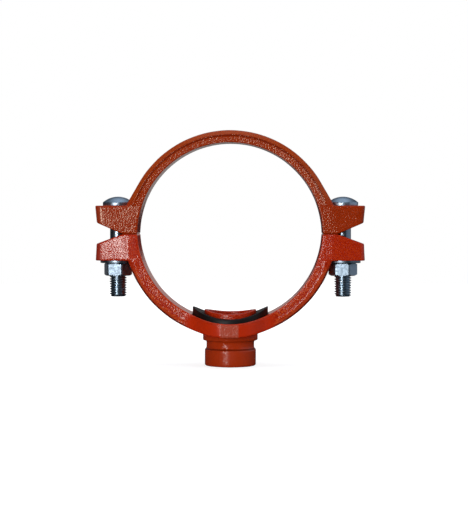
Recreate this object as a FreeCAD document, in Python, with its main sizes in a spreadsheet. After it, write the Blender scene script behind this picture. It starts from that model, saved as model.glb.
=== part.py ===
import FreeCAD, Part
import math
import os

import Sketcher

# Mechanical tee, 6 in run by 1 1/2 in grooved outlet, in millimetres.
# Y is the axis of the run pipe, the branch points down Z, and the two halves part at Z = 0.
# The origin is where the two axes cross.

doc = FreeCAD.newDocument("mechanical_tee")

SIZES = (
    ("bore_radius", 86.3, "inside radius of both halves"),
    ("strap_drop", 1.3, "centre of the strap's bore, below the parting plane"),
    ("outlet_lift", 3.6, "centre of the outlet half's bore, above the parting plane"),
    ("strap_wall", 11.7, "thickness of the strap from its bore to its crown"),
    ("outlet_wall", 13.0, "the same for the outlet half"),
    ("half_width", 20.0, "half the width of the ring and the lugs along the run pipe"),
    ("strap_face", 5.2, "height of the flat part of the strap's face, next to the bore"),
    ("outlet_face", 6.6, "the same for the outlet half"),
    ("face_tilt", 4.0, "draft of that flat part, in degrees"),
    ("ridge_rise", 0.6, "how far the moulding ridge stands out of the face"),
    ("ridge_height", 0.8, "height of the step up to the ridge"),
    ("crown_draft", 22.0, "slope of the face from the ridge to the crown, in degrees"),
    ("crown_round", 2.0, "rounding of the crown's two edges"),
    ("flank_angle", 30.0, "slope of the strap's straight flanks, in degrees"),
    ("lug_end", 126.0, "from the middle to the tip of a lug"),
    ("strap_lug_lean", 5.5, "lean of a strap lug's end face, in degrees"),
    ("outlet_lug_lean", 3.0, "the same for the outlet half"),
    ("strap_lug_height", 26.5, "height of the strap's lugs"),
    ("outlet_lug_height", 25.0, "height of the outlet half's lugs"),
    ("landing_end", 100.0, "from the middle to the end of the flat mating face"),
    ("strap_lug_gap", 10.5, "from the parting plane to a strap lug at its tip"),
    ("outlet_lug_gap", 9.2, "the same for the outlet half"),
    ("lug_round", 5.5, "rounding of a lug's two upright end edges"),
    ("taper_start", 95.5, "from the middle to where the outlet half's lugs start to narrow"),
    ("lug_taper", 9.0, "slope of the narrowing faces, in degrees"),
    ("bolt_centre", 105.9, "from the middle to the axis of a bolt"),
    ("bolt_radius", 7.94, "5/8 in bolt, 11 threads to the inch, over its threads"),
    ("shank_radius", 7.55, "plain shank between the neck and the threads"),
    ("thread_length", 42.0, "from the end of the bolt to the last thread"),
    ("bolt_length", 85.5, "from under the head to the end"),
    ("bolt_point", 1.4, "chamfer at the end of the bolt"),
    ("head_radius", 14.3, "button head"),
    ("head_rim", 3.0, "straight edge of the head"),
    ("head_height", 8.4, "whole height of the head"),
    ("neck_length", 22.0, "long side of the oval neck"),
    ("neck_height", 9.0, "height of the oval neck"),
    ("neck_clearance", 0.8, "room round the neck and the shank"),
    ("head_room", 1.8, "room round the head and the washer where the flank is cut back"),
    ("washer_radius", 16.65, "5/8 in flat washer"),
    ("washer_thickness", 2.4, "thickness of the washer"),
    ("washer_round", 0.5, "rolled edge of the washer"),
    ("nut_flats", 24.0, "across the flats of the nut"),
    ("nut_height", 12.0, "height of the nut"),
    ("nut_face", 22.6, "diameter of the round face that the corner chamfers leave"),
    ("nut_chamfer", 30.0, "slope of the corner chamfers, in degrees"),
    ("nut_fit", 0.05, "clearance between the nut's bore and the bolt"),
    ("nut_countersink", 1.2, "countersink at both ends of the nut's bore"),
    ("left_nut_turn", 11.5, "how far the left nut is turned from square, in degrees"),
    ("right_nut_turn", 9.0, "how far the right nut is turned from square, in degrees"),
    ("saddle_radius", 39.5, "radius of the saddle round the branch"),
    ("saddle_blend", 24.5, "hollow radius that leads from the ring's face into the saddle"),
    ("facet_width", 16.6, "width of the flat patch on the front and back of the saddle"),
    ("fairing", 14.0, "length over which the saddle's underside runs out into the ring"),
    ("branch_end", 124.1, "from the run axis to the end of the branch"),
    ("branch_seat", 15.88, "from the end of the branch to the groove"),
    ("seat_radius", 24.15, "outside radius of the branch, 48.3 mm pipe size"),
    ("groove_width", 7.95, "width of the coupling groove"),
    ("groove_radius", 22.55, "radius at the bottom of the groove"),
    ("shoulder_radius", 25.9, "radius of the shoulder above the groove"),
    ("waterway_radius", 20.5, "inside radius of the branch"),
    ("branch_round", 1.0, "rounding of the branch's outer end edge"),
    ("collar_radius", 24.5, "outside radius of the collar that enters the run pipe's hole"),
    ("collar_crest", 74.4, "from the run axis to the collar at its lowest"),
    ("collar_curve", 83.0, "radius that the collar's rim is cut to"),
    ("seat_depth", 8.5, "depth of the gasket seat below the bore"),
    ("gasket_radius", 35.5, "outside radius of the gasket"),
    ("gasket_height", 11.9, "height of the gasket where it is lowest, on the front and the back"),
    ("gasket_curve", 63.0, "radius that the top of the gasket is moulded to"),
    ("gasket_room", 0.3, "room round the gasket in its seat"),
)

sheet = doc.addObject("Spreadsheet::Sheet", "Sizes")
for row, (alias, number, note) in enumerate(SIZES, start=1):
    sheet.set(f"A{row}", alias)
    sheet.set(f"B{row}", str(number))
    sheet.set(f"C{row}", note)
    sheet.setAlias(f"B{row}", alias)
doc.recompute()


class Formula:
    """A length worked out from the sheet: its number now, and the expression that follows the sheet."""

    def __init__(self, number, text):
        self.number = number
        self.text = text

    def __add__(self, other):
        other = formula(other)
        return Formula(self.number + other.number, f"({self.text} + {other.text})")

    def __sub__(self, other):
        other = formula(other)
        return Formula(self.number - other.number, f"({self.text} - {other.text})")

    def __mul__(self, other):
        other = formula(other)
        return Formula(self.number * other.number, f"({self.text} * {other.text})")

    def __truediv__(self, other):
        other = formula(other)
        return Formula(self.number / other.number, f"({self.text} / {other.text})")

    def __neg__(self):
        return Formula(-self.number, f"(-1 * {self.text})")


def formula(value):
    if isinstance(value, Formula):
        return value
    return Formula(float(value), str(float(value)))


def size(alias):
    return Formula(float(getattr(sheet, alias)), f"Sizes.{alias}")


def slope(alias):
    """Tangent of an angle of the sheet."""
    angle = size(alias)
    return Formula(math.tan(math.radians(angle.number)), f"tan({angle.text} * 1 deg)")


def root(value):
    return Formula(math.sqrt(value.number), f"sqrt({value.text})")


def new_body(name):
    body = doc.addObject("PartDesign::Body", name)
    body.Label = name
    return body


def new_sketch(body, name, role):
    """A sketch on one of the body's own origin planes."""
    sketch = body.newObject("Sketcher::SketchObject", name)
    planes = [plane for plane in body.Origin.OriginFeatures if plane.Role == role]
    sketch.AttachmentSupport = [(planes[0], "")]
    sketch.MapMode = "FlatFace"
    return sketch


def shift_sketch(sketch, axis, distance):
    """Moves a sketch along an axis of its own frame."""
    sketch.setExpression(f"AttachmentOffset.Base.{axis}", distance.text)


def bind(sketch, constraint, value):
    index = sketch.addConstraint(constraint)
    sketch.setExpression(f"Constraints[{index}]", value.text)


def pin_point(sketch, curve, end, x, y):
    """Holds a point at (x, y) from the sketch's origin. A zero puts it on the axis."""
    for kind, axis, value in (("DistanceX", -2, formula(x)), ("DistanceY", -1, formula(y))):
        if value.number > 0:
            bind(sketch, Sketcher.Constraint(kind, -1, 1, curve, end, value.number), value)
        elif value.number < 0:
            bind(sketch, Sketcher.Constraint(kind, curve, end, -1, 1, -value.number), -value)
        else:
            sketch.addConstraint(Sketcher.Constraint("PointOnObject", curve, end, axis))


def vector(x, y):
    return FreeCAD.Vector(formula(x).number, formula(y).number, 0)


def add_arc(sketch, centre, start, end):
    """The shorter arc between two points. Returns it with the names of its two ends."""
    first = math.atan2(start.y - centre.y, start.x - centre.x)
    last = math.atan2(end.y - centre.y, end.x - centre.x)
    ends = (1, 2)
    if (last - first) % (2 * math.pi) > math.pi:
        first, last = last, first
        ends = (2, 1)
    circle = Part.Circle(centre, FreeCAD.Vector(0, 0, 1), (start - centre).Length)
    sweep = (last - first) % (2 * math.pi)
    curve = sketch.addGeometry(Part.ArcOfCircle(circle, first, first + sweep), False)
    return curve, ends


def draw_outline(sketch, corners, arcs=()):
    """Closes an outline through corners, each (x, y) or (x, y, rounding).

    arcs maps the number of a side to (radius, centre x, centre y), and other sides are straight.
    """
    arcs = dict(arcs)
    count = len(corners)
    points = [vector(corner[0], corner[1]) for corner in corners]
    enter = list(points)
    leave = list(points)
    for i, corner in enumerate(corners):
        if len(corner) == 3:
            back = (points[i - 1] - points[i]).normalize()
            ahead = (points[(i + 1) % count] - points[i]).normalize()
            reach = corner[2].number / math.tan(back.getAngle(ahead) / 2)
            enter[i] = points[i] + back * reach
            leave[i] = points[i] + ahead * reach
    sides = []
    for i in range(count):
        start, end = leave[i], enter[(i + 1) % count]
        if i in arcs:
            radius, x, y = arcs[i]
            curve, ends = add_arc(sketch, vector(x, y), start, end)
            bind(sketch, Sketcher.Constraint("Radius", curve, radius.number), radius)
        else:
            curve, ends = sketch.addGeometry(Part.LineSegment(start, end), False), (1, 2)
        sides.append((curve, ends))
    for i, corner in enumerate(corners):
        before, before_ends = sides[i - 1]
        after, after_ends = sides[i]
        if len(corner) == 2:
            joined = (before, before_ends[1], after, after_ends[0])
            sketch.addConstraint(Sketcher.Constraint("Coincident", *joined))
            pin_point(sketch, after, after_ends[0], corner[0], corner[1])
            continue
        point = sketch.addGeometry(Part.Point(points[i]), True)
        pin_point(sketch, point, 1, corner[0], corner[1])
        sketch.addConstraint(Sketcher.Constraint("PointOnObject", point, 1, before))
        sketch.addConstraint(Sketcher.Constraint("PointOnObject", point, 1, after))
        middle = (enter[i] + leave[i]) * 0.5 - points[i]
        centre = points[i] + middle * (((enter[i] - points[i]).Length / middle.Length) ** 2)
        curve, ends = add_arc(sketch, centre, enter[i], leave[i])
        sketch.addConstraint(Sketcher.Constraint("Tangent", before, before_ends[1], curve, ends[0]))
        sketch.addConstraint(Sketcher.Constraint("Tangent", curve, ends[1], after, after_ends[0]))
        bind(sketch, Sketcher.Constraint("Radius", curve, corner[2].number), corner[2])


def draw_box(sketch, left, right, bottom, top):
    draw_outline(sketch, ((left, bottom), (right, bottom), (right, top), (left, top)))


def draw_circle(sketch, x, y, radius):
    circle = Part.Circle(vector(x, y), FreeCAD.Vector(0, 0, 1), radius.number)
    curve = sketch.addGeometry(circle, False)
    pin_point(sketch, curve, 3, x, y)
    bind(sketch, Sketcher.Constraint("Radius", curve, radius.number), radius)


def draw_oval(sketch, x, length, radius):
    """A slot along the sketch's X axis with round ends, centred on (x, 0)."""
    left = x - length / 2 + radius
    right = x + length / 2 - radius
    up = FreeCAD.Vector(0, radius.number, 0)
    centres = (vector(left, 0), vector(right, 0))
    caps = []
    for centre, start in ((centres[0], math.pi / 2), (centres[1], -math.pi / 2)):
        circle = Part.Circle(centre, FreeCAD.Vector(0, 0, 1), radius.number)
        caps.append(sketch.addGeometry(Part.ArcOfCircle(circle, start, start + math.pi), False))
    upper = sketch.addGeometry(Part.LineSegment(centres[1] + up, centres[0] + up), False)
    lower = sketch.addGeometry(Part.LineSegment(centres[0] - up, centres[1] - up), False)
    sketch.addConstraint(Sketcher.Constraint("Tangent", caps[1], 2, upper, 1))
    sketch.addConstraint(Sketcher.Constraint("Tangent", upper, 2, caps[0], 1))
    sketch.addConstraint(Sketcher.Constraint("Tangent", caps[0], 2, lower, 1))
    sketch.addConstraint(Sketcher.Constraint("Tangent", lower, 2, caps[1], 1))
    pin_point(sketch, caps[0], 3, left, 0)
    pin_point(sketch, caps[1], 3, right, 0)
    bind(sketch, Sketcher.Constraint("Radius", caps[0], radius.number), radius)


def settle(body, feature):
    """Makes a feature the body's last one and computes it."""
    body.Tip = feature
    doc.recompute()
    if "Invalid" in feature.State:
        raise RuntimeError(f"{feature.Name} failed to compute")


def add_feature(kind, body, sketch, name, length=None, symmetric=False, reversed_=False):
    """A pad or pocket of a sketch. With no length it goes through all."""
    before = body.Shape.Volume if kind == "Pocket" else 0
    feature = body.newObject(f"PartDesign::{kind}", name)
    feature.Profile = sketch
    if symmetric:
        feature.SideType = "Symmetric"
    feature.Reversed = reversed_
    if length is None:
        feature.Type = "ThroughAll"
    else:
        feature.Type = "Length"
        feature.setExpression("Length", length.text)
    settle(body, feature)
    if kind == "Pocket" and feature.Shape.Volume >= before:
        raise RuntimeError(f"{name} cuts nothing")


def add_turning(kind, body, sketch, name, axis, angle=None):
    """A revolution or groove of a sketch about one of its own axes."""
    feature = body.newObject(f"PartDesign::{kind}", name)
    feature.Profile = sketch
    feature.ReferenceAxis = (sketch, [axis])
    if angle is not None:
        feature.Midplane = True
        feature.setExpression("Angle", angle.text)
    settle(body, feature)


def round_edges(body, name, radius, chosen):
    """Rounds the edges of the body that the test picks out."""
    tip = body.Tip
    names = [f"Edge{i}" for i, edge in enumerate(tip.Shape.Edges, start=1) if chosen(edge)]
    feature = body.newObject("PartDesign::Fillet", name)
    feature.Base = (tip, names)
    feature.setExpression("Radius", radius.text)
    settle(body, feature)


bore = size("bore_radius")
half_width = size("half_width")
strap_outer = bore + size("strap_wall")
outlet_outer = bore + size("outlet_wall")


def crown_width(outer, face):
    """Half the width of the ring at its crown."""
    drop = outer - bore - face - size("ridge_height")
    return half_width + size("ridge_rise") - drop * slope("crown_draft")


def draw_ring_section(sketch, outer, face, side):
    """Half section of the ring, from inside the bore to the crown, above or below the bore axis."""
    inside = bore * 2 - outer
    face_end = bore + face
    waist = half_width - (face_end - inside) * slope("face_tilt")
    ridge = face_end + size("ridge_height")
    ridge_width = half_width + size("ridge_rise")
    crown = crown_width(outer, face)
    rounding = size("crown_round")
    draw_outline(
        sketch,
        (
            (-waist, inside * side),
            (waist, inside * side),
            (half_width, face_end * side),
            (ridge_width, ridge * side),
            (crown, outer * side, rounding),
            (-crown, outer * side, rounding),
            (-ridge_width, ridge * side),
            (-half_width, face_end * side),
        ),
    )


def cut_level(body, name, bottom, top):
    """Takes the whole body away between two heights."""
    sketch = new_sketch(body, f"{name}_sketch", "XZ_Plane")
    reach = size("lug_end")
    draw_box(sketch, -reach, reach, bottom, top)
    add_feature("Pocket", body, sketch, name, symmetric=True)


def add_lugs(body, half, side):
    """Both bolt lugs of one half, above or below the parting plane."""
    height = size(f"{half}_lug_height")
    gap = size(f"{half}_lug_gap")
    end = size("lug_end")
    tip = end - (height - gap) * slope(f"{half}_lug_lean")
    inner = bore - size(f"{half}_wall")
    landing = size("landing_end")
    sketch = new_sketch(body, "lug_sketch", "XZ_Plane")
    for hand in (-1, 1):
        draw_outline(
            sketch,
            (
                (inner * hand, 0),
                (landing * hand, 0),
                (tip * hand, gap * side),
                (end * hand, height * side),
                (inner * hand, height * side),
            ),
        )
    add_feature("Pad", body, sketch, "lugs", length=half_width * 2, symmetric=True)


def round_lug_ends(body):
    """The upright edges at the four corners of the lugs."""
    limit = size("bolt_centre").number + size("bolt_radius").number

    def at_end(edge):
        ends = [vertex.Point for vertex in edge.Vertexes]
        upright = abs(ends[0].z - ends[-1].z) > size("lug_round").number
        return upright and all(abs(point.x) > limit for point in ends)

    round_edges(body, "lug_rounding", size("lug_round"), at_end)


def cut_bore(body, centre, radius, name):
    """Cuts a round hole right through along the run axis."""
    sketch = new_sketch(body, f"{name}_sketch", "XZ_Plane")
    draw_circle(sketch, 0, centre, radius)
    add_feature("Pocket", body, sketch, name, symmetric=True)


def cut_outside(body, centre, radius, name):
    """Takes away what lies outside a cylinder along the run axis."""
    sketch = new_sketch(body, f"{name}_sketch", "XZ_Plane")
    reach = radius + size("branch_end")
    draw_box(sketch, -reach, reach, -reach, reach)
    draw_circle(sketch, 0, centre, radius)
    add_feature("Pocket", body, sketch, name, symmetric=True)


def cut_flank(body, level, upwards, radius):
    """Cuts the ring's flank back round both bolts, so that a head or a washer can sit flat."""
    sketch = new_sketch(body, "flank_sketch", "XY_Plane")
    shift_sketch(sketch, "z", level)
    for hand in (-1, 1):
        draw_circle(sketch, size("bolt_centre") * hand, 0, radius)
    add_feature("Pocket", body, sketch, "flank_relief", reversed_=upwards)


def make_upper_housing():
    body = new_body("upper_housing")
    centre = -size("strap_drop")
    height = size("strap_lug_height")
    flank = formula(90) - size("flank_angle")
    face = size("strap_face")

    sketch = new_sketch(body, "arch_sketch", "YZ_Plane")
    shift_sketch(sketch, "y", centre)
    draw_ring_section(sketch, strap_outer, face, 1)
    add_turning("Revolution", body, sketch, "arch", "H_Axis", angle=flank * 2)

    for name, hand in (("left_flank", -1), ("right_flank", 1)):
        sketch = new_sketch(body, f"{name}_sketch", "YZ_Plane")
        turn = FreeCAD.Rotation(FreeCAD.Vector(hand, 0, 0), flank.number)
        sketch.AttachmentOffset = FreeCAD.Placement(FreeCAD.Vector(0, centre.number, 0), turn)
        sketch.setExpression("AttachmentOffset.Rotation.Angle", flank.text)
        shift_sketch(sketch, "y", centre)
        draw_ring_section(sketch, strap_outer, face, 1)
        run = strap_outer * slope("flank_angle")
        add_feature("Pad", body, sketch, name, length=run, reversed_=hand < 0)

    cut_level(body, "foot_cut", -strap_outer, height)
    add_lugs(body, "strap", 1)
    round_lug_ends(body)
    cut_bore(body, centre, bore, "run_bore")

    sketch = new_sketch(body, "neck_hole_sketch", "XY_Plane")
    room = size("neck_clearance")
    for hand in (-1, 1):
        length = size("neck_length") + room * 2
        draw_oval(sketch, size("bolt_centre") * hand, length, size("bolt_radius") + room)
    add_feature("Pocket", body, sketch, "neck_holes", reversed_=True)
    cut_flank(body, height, True, size("head_radius") + size("head_room"))
    return body


def draw_saddle_plan(sketch):
    """The saddle seen along the branch: flat facets, round sides, and hollow blends into the ring."""
    radius = size("saddle_radius")
    blend = size("saddle_blend")
    facet = size("facet_width") / 2
    facet_depth = root(radius * radius - facet * facet)
    away = radius + blend
    across = half_width + blend
    foot = root(away * away - across * across)
    share = radius / away
    end = foot + size("fairing")
    quarter = (
        (facet, facet_depth),
        (foot * share, across * share),
        (foot, half_width),
        (end, crown_width(outlet_outer, size("outlet_face"))),
    )
    corners = []
    arcs = {}
    for across_sign, along_sign in ((1, 1), (1, -1), (-1, -1), (-1, 1)):
        points = [(x * across_sign, y * along_sign) for x, y in quarter]
        hollow = (blend, foot * across_sign, across * along_sign)
        if across_sign * along_sign < 0:
            points.reverse()
            arcs[len(corners) + 1] = hollow
            arcs[len(corners) + 2] = (radius, 0, 0)
        else:
            arcs[len(corners)] = (radius, 0, 0)
            arcs[len(corners) + 1] = hollow
        corners.extend(points)
    draw_outline(sketch, corners, arcs)


def draw_branch_section(sketch):
    """Half section of the branch, from inside the bore to its grooved end."""
    end = -size("branch_end")
    groove_low = end + size("branch_seat")
    groove_high = groove_low + size("groove_width")
    collar = size("collar_radius")
    shoulder = size("shoulder_radius")
    groove = size("groove_radius")
    seat = size("seat_radius")
    rounding = size("branch_round")
    saddle = -bore - size("seat_depth") + size("outlet_lift")
    top = -size("collar_crest") + size("collar_curve")
    draw_outline(
        sketch,
        (
            (0, end),
            (seat, end, rounding),
            (seat, groove_low),
            (groove, groove_low),
            (groove, groove_high),
            (shoulder, groove_high),
            (shoulder, saddle),
            (collar, saddle),
            (collar, top),
            (0, top),
        ),
    )


def draw_seat_ring(sketch, inner, outside):
    draw_circle(sketch, 0, 0, inner)
    draw_circle(sketch, 0, 0, outside)


def make_outlet_housing():
    body = new_body("outlet_casting")
    centre = size("outlet_lift")
    height = size("outlet_lug_height")

    sketch = new_sketch(body, "saddle_sketch", "XY_Plane")
    draw_saddle_plan(sketch)
    add_feature("Pad", body, sketch, "saddle", length=outlet_outer, reversed_=True)
    cut_outside(body, centre, outlet_outer, "saddle_underside")

    sketch = new_sketch(body, "arch_sketch", "YZ_Plane")
    shift_sketch(sketch, "y", centre)
    draw_ring_section(sketch, outlet_outer, size("outlet_face"), -1)
    add_turning("Revolution", body, sketch, "arch", "H_Axis", angle=formula(180))

    cut_level(body, "foot_cut", -height, outlet_outer)
    add_lugs(body, "outlet", -1)

    sketch = new_sketch(body, "taper_sketch", "XY_Plane")
    start = size("taper_start")
    end = size("lug_end") + size("lug_round")
    depth = half_width - (end - start) * slope("lug_taper")
    beyond = half_width + size("lug_round")
    for hand in (-1, 1):
        for face in (-1, 1):
            corners = ((start * hand, half_width * face), (end * hand, depth * face))
            draw_outline(sketch, corners + ((end * hand, beyond * face), (start * hand, beyond * face)))
    add_feature("Pocket", body, sketch, "lug_tapers")
    round_lug_ends(body)
    cut_bore(body, centre, bore, "run_bore")

    sketch = new_sketch(body, "branch_sketch", "XZ_Plane")
    draw_branch_section(sketch)
    add_turning("Revolution", body, sketch, "branch", "V_Axis")
    crest = size("collar_curve") - size("collar_crest")
    cut_bore(body, crest, size("collar_curve"), "collar_rim")

    sketch = new_sketch(body, "waterway_sketch", "XY_Plane")
    draw_circle(sketch, 0, 0, size("waterway_radius"))
    add_feature("Pocket", body, sketch, "waterway")

    sketch = new_sketch(body, "bolt_hole_sketch", "XY_Plane")
    for hand in (-1, 1):
        hole = size("bolt_radius") + size("neck_clearance")
        draw_circle(sketch, size("bolt_centre") * hand, 0, hole)
    add_feature("Pocket", body, sketch, "bolt_holes")
    cut_flank(body, -height, False, size("washer_radius") + size("head_room"))

    seat = new_body("gasket_seat")
    sketch = new_sketch(seat, "seat_sketch", "XY_Plane")
    draw_seat_ring(sketch, size("collar_radius"), size("gasket_radius") + size("gasket_room"))
    add_feature("Pad", seat, sketch, "seat_ring", length=outlet_outer, reversed_=True)
    cut_outside(seat, centre, bore + size("seat_depth"), "seat_floor")

    housing = doc.addObject("Part::Cut", "outlet_housing")
    housing.Label = "outlet_housing"
    housing.Base = body
    housing.Tool = seat
    return housing


def make_gasket():
    body = new_body("gasket")
    room = size("gasket_room")
    centre = size("outlet_lift")
    floor = bore + size("seat_depth") - room
    top = centre - floor + size("gasket_height") + size("gasket_curve")
    sketch = new_sketch(body, "ring_sketch", "XY_Plane")
    draw_seat_ring(sketch, size("collar_radius") + room, size("gasket_radius"))
    shift_sketch(sketch, "z", top)
    add_feature("Pad", body, sketch, "ring", length=outlet_outer, reversed_=True)
    cut_outside(body, centre, floor, "underside")
    cut_bore(body, top, size("gasket_curve"), "lip")
    return body


def make_bolt(name, hand):
    body = new_body(name)
    head = size("head_radius")
    rim = size("head_rim")
    height = size("head_height")
    thread = size("bolt_radius")
    shank = size("shank_radius")
    end = -size("bolt_length")
    run_out = end + size("thread_length")
    point = size("bolt_point")
    rise = height - rim
    dome = (head * head + rise * rise) / (rise * 2)
    sketch = new_sketch(body, "bolt_sketch", "XZ_Plane")
    draw_outline(
        sketch,
        (
            (0, height),
            (head, rim),
            (head, 0),
            (shank, 0),
            (shank, run_out + thread - shank),
            (thread, run_out),
            (thread, end + point),
            (thread - point, end),
            (0, end),
        ),
        {0: (dome, 0, height - dome)},
    )
    add_turning("Revolution", body, sketch, "turned_bolt", "V_Axis")
    sketch = new_sketch(body, "neck_sketch", "XY_Plane")
    draw_oval(sketch, formula(0), size("neck_length"), thread)
    add_feature("Pad", body, sketch, "oval_neck", length=size("neck_height"), reversed_=True)
    place(body, hand, size("strap_lug_height"))
    return body


def make_washer(name, hand):
    body = new_body(name)
    hole = size("bolt_radius") + size("neck_clearance")
    edge = size("washer_radius")
    thick = size("washer_thickness")
    rolled = size("washer_round")
    sketch = new_sketch(body, "washer_sketch", "XZ_Plane")
    draw_outline(sketch, ((hole, 0), (edge, 0, rolled), (edge, thick), (hole, thick)))
    add_turning("Revolution", body, sketch, "stamped_ring", "V_Axis")
    place(body, hand, -size("outlet_lug_height") - thick)
    return body


def make_nut(name, hand, turn):
    body = new_body(name)
    flat = size("nut_flats") / 2
    corner = size("nut_flats") / root(formula(3))
    height = size("nut_height")
    sketch = new_sketch(body, "hexagon_sketch", "XY_Plane")
    half = corner / 2
    hexagon = ((corner, 0), (half, flat), (-half, flat), (-corner, 0), (-half, -flat), (half, -flat))
    draw_outline(sketch, hexagon)
    add_feature("Pad", body, sketch, "hexagon", length=height)

    face = size("nut_face") / 2
    beyond = corner + size("nut_countersink")
    drop = (beyond - face) * slope("nut_chamfer")
    hole = size("bolt_radius") + size("nut_fit")
    sink = size("nut_countersink")
    sketch = new_sketch(body, "cut_sketch", "XZ_Plane")
    draw_outline(sketch, ((face, 0), (beyond, 0), (beyond, drop)))
    draw_outline(sketch, ((face, height), (beyond, height), (beyond, height - drop)))
    draw_outline(
        sketch,
        (
            (0, 0),
            (hole + sink, 0),
            (hole, sink),
            (hole, height - sink),
            (hole + sink, height),
            (0, height),
        ),
    )
    add_turning("Groove", body, sketch, "bore_and_chamfers", "V_Axis")
    body.Placement.Rotation = FreeCAD.Rotation(FreeCAD.Vector(0, 0, -1), size(turn).number)
    body.setExpression("Placement.Rotation.Angle", size(turn).text)
    place(body, hand, -size("outlet_lug_height") - size("washer_thickness") - height)
    return body


def place(body, hand, level):
    """Puts a piece on the left or right bolt axis at a height."""
    body.setExpression("Placement.Base.x", (size("bolt_centre") * hand).text)
    body.setExpression("Placement.Base.z", level.text)


pieces = [make_upper_housing(), make_outlet_housing(), make_gasket()]
for side_name, side_sign in (("left", -1), ("right", 1)):
    pieces.append(make_bolt(f"{side_name}_bolt", side_sign))
    pieces.append(make_washer(f"{side_name}_washer", side_sign))
    pieces.append(make_nut(f"{side_name}_nut", side_sign, f"{side_name}_nut_turn"))
doc.recompute()

for item in doc.Objects:
    if "Invalid" in item.State or "Error" in item.State:
        raise RuntimeError(f"{item.Name} failed to compute")
for piece in pieces:
    if piece.Shape.isNull() or not piece.Shape.isValid() or len(piece.Shape.Solids) != 1:
        raise RuntimeError(f"{piece.Label} is not one valid solid")

os.makedirs("parts", exist_ok=True)
for piece in pieces:
    piece.Shape.exportStep(f"parts/{piece.Label}.step")
    box = piece.Shape.optimalBoundingBox(True, False)
    print(
        f"{piece.Label}: {piece.Shape.Volume / 1000:.1f} cm3,"
        f" X {box.XMin:.1f} to {box.XMax:.1f},"
        f" Y {box.YMin:.1f} to {box.YMax:.1f},"
        f" Z {box.ZMin:.1f} to {box.ZMax:.1f}"
    )
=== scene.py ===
import math

import bmesh
import bpy
import numpy as np
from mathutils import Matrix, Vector


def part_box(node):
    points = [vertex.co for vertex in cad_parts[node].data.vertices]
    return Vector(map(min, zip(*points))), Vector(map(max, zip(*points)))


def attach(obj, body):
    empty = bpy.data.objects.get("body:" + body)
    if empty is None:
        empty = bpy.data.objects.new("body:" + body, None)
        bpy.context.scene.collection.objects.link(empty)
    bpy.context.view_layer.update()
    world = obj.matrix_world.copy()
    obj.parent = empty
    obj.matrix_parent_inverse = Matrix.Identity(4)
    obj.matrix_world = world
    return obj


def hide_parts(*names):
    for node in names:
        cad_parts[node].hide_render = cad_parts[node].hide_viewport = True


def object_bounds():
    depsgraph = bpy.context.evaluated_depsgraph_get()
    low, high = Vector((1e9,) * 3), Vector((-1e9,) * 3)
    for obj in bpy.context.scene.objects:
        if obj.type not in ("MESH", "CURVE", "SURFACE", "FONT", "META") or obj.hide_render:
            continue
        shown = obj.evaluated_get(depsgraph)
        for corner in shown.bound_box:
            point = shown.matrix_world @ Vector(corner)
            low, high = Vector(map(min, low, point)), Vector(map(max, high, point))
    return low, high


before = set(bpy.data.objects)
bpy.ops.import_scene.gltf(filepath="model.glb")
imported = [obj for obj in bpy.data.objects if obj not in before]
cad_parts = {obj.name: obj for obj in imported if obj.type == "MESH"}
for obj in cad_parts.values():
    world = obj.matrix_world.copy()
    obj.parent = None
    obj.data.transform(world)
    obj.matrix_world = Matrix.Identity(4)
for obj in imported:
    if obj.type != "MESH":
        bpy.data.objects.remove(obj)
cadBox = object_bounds()
mm = 0.001
fullTurn = 2 * math.pi
white = (1, 1, 1, 1)
boltCentre = 105.9  # mm from the middle
hands = {"left": -1, "right": 1}  # which side of the middle
boreCentre = {"strap": -1.3, "outlet": 3.6}  # mm, heights of the middles of the two half bores
print("frame loaded")


# Where the photograph was taken from. Pixels are those of a 468 x 512 picture.
photoView = {
    "eye": (0.033, -1.5, 0.026),  # m
    "picture": (468, 512),
    "vanishing": (265.4, 206.1),  # where lines along the run pipe meet
    "focal": 1593,  # pixels
    "sensor": 36,  # mm
}


def newObject(name, data):
    made = bpy.data.objects.new(name, data)
    bpy.context.scene.collection.objects.link(made)
    return made


def makeCamera(view):
    # looks along the run pipe, turned by as much as the lines' meeting point is off the picture's middle
    wide, high = view["picture"]
    aside = (wide / 2 - view["vanishing"][0]) / view["focal"]
    down = (high / 2 - view["vanishing"][1]) / view["focal"]
    data = bpy.data.cameras.new("photoCamera")
    data.sensor_width = view["sensor"]
    data.lens = view["focal"] * view["sensor"] / max(wide, high)
    camera = newObject("photoCamera", data)
    camera.location = view["eye"]
    camera.rotation_euler = Vector((aside, 1, -down)).to_track_quat("-Z", "Y").to_euler()
    bpy.context.scene.camera = camera


makeCamera(photoView)
print("camera placed")


# Meshes from grids

gridMerge = 1e-7  # m, points of a grid that are closer than this are one


def meshFromGrid(name, points):
    # points is rows x columns x 3; each square of neighbours is a face, and points that coincide are merged
    rows, columns = points.shape[:2]
    index = np.arange(rows * columns).reshape(rows, columns)
    corners = (index[:-1, :-1], index[:-1, 1:], index[1:, 1:], index[1:, :-1])
    faces = np.stack(corners, axis=-1).reshape(-1, 4)
    mesh = bpy.data.meshes.new(name)
    mesh.from_pydata(points.reshape(-1, 3).tolist(), [], faces.tolist())
    return tidyMesh(mesh, gridMerge)


def tidyMesh(mesh, merge):
    # merges points closer than this many metres, drops slivers, and turns a closed mesh's faces outward
    work = bmesh.new()
    work.from_mesh(mesh)
    bmesh.ops.remove_doubles(work, verts=work.verts, dist=merge)
    bmesh.ops.dissolve_degenerate(work, edges=work.edges, dist=merge)
    if work.calc_volume(signed=True) < 0:
        bmesh.ops.reverse_faces(work, faces=work.faces)
    work.to_mesh(mesh)
    work.free()
    mesh.shade_smooth()
    return mesh


def addPiece(name, mesh, material, body, slot, *nodes):
    piece = newObject(name, mesh)
    mesh.materials.clear()
    mesh.materials.append(material)
    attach(piece, body)
    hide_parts(*nodes)
    print(name, len(mesh.polygons), "faces")


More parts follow.
